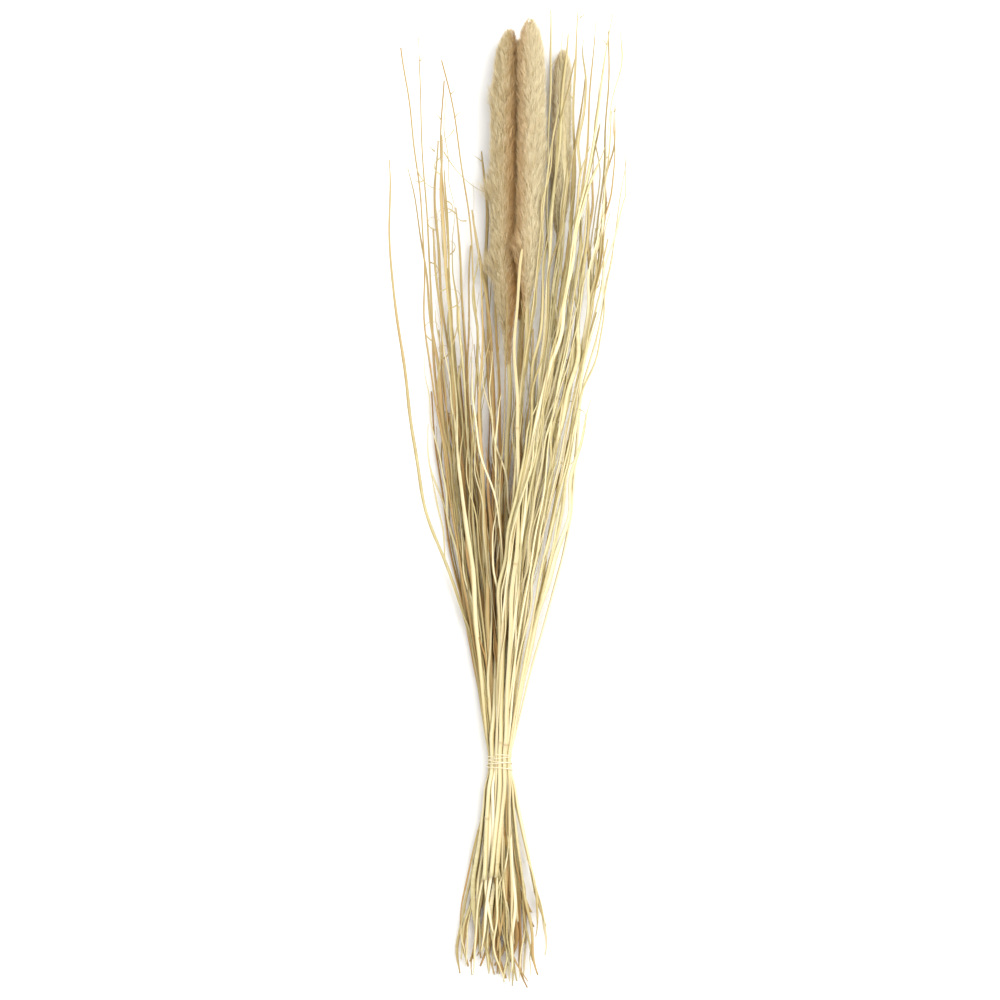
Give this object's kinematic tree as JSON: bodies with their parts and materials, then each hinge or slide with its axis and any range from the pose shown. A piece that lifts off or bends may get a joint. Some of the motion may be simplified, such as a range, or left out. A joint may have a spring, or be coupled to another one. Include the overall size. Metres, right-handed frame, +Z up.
{
  "type": "bundle of dried foxtail grass",
  "caption": "Bundle of dried grass lying on its side: pale stems fanning out from a bound waist, soft cylindrical foxtail plumes among their tips.",
  "frame": {"origin": "middle of the bounding box in plan, on the surface that the bundle lies on", "axes": "+Y from the cut ends to the plumes' tips, +Z up from the surface, +X to the right seen from above with the tips away"},
  "size_m": [0.2402, 0.9772, 0.0592],
  "materials": {
    "straw": "dry straw, faintly glossy along the stem",
    "plume": "soft matte hairs",
    "binding": "matte twine"
  },
  "bodies": {
    "root": {"binding": "binding", "crossing_blade": "straw", "foxtail_back": "plume", "foxtail_front": "plume", "foxtail_left": "plume", "foxtail_small": "plume", "front_straw": "straw", "left_bent_stem": "straw", "left_cut_stem": "straw", "left_frayed_blade": "straw", "left_outer_stem": "straw", "left_short_stem": "straw", "left_side_stem": "straw", "left_stem_01": "straw", "left_stem_02": "straw", "left_stem_03": "straw", "left_stem_04": "straw", "left_stem_05": "straw", "left_stem_06": "straw", "left_stem_07": "straw", "left_stem_08": "straw", "left_stem_09": "straw", "left_stem_10": "straw", "left_stem_11": "straw", "left_swaying_stem": "straw", "left_tall_blade": "straw", "left_tall_stem": "straw", "left_thin_stem": "straw", "middle_stem_01": "straw", "middle_stem_02": "straw", "middle_stem_03": "straw", "middle_stem_04": "straw", "middle_stem_05": "straw", "middle_stem_06": "straw", "middle_stem_07": "straw", "middle_stem_08": "straw", "middle_stem_09": "straw", "middle_tall_stem": "straw", "right_bowed_stem": "straw", "right_broad_blade": "straw", "right_crossing_stem": "straw", "right_forked_stem": "straw", "right_outer_stem": "straw", "right_stem_01": "straw", "right_stem_02": "straw", "right_stem_03": "straw", "right_stem_04": "straw", "right_stem_05": "straw", "right_stem_06": "straw", "right_stem_07": "straw", "right_stem_08": "straw", "right_stem_09": "straw", "right_stem_10": "straw", "right_stem_11": "straw", "right_tall_stem": "straw", "under_stem_01": "straw", "under_stem_02": "straw", "under_stem_03": "straw", "under_stem_04": "straw"}
  },
  "joints": []
}
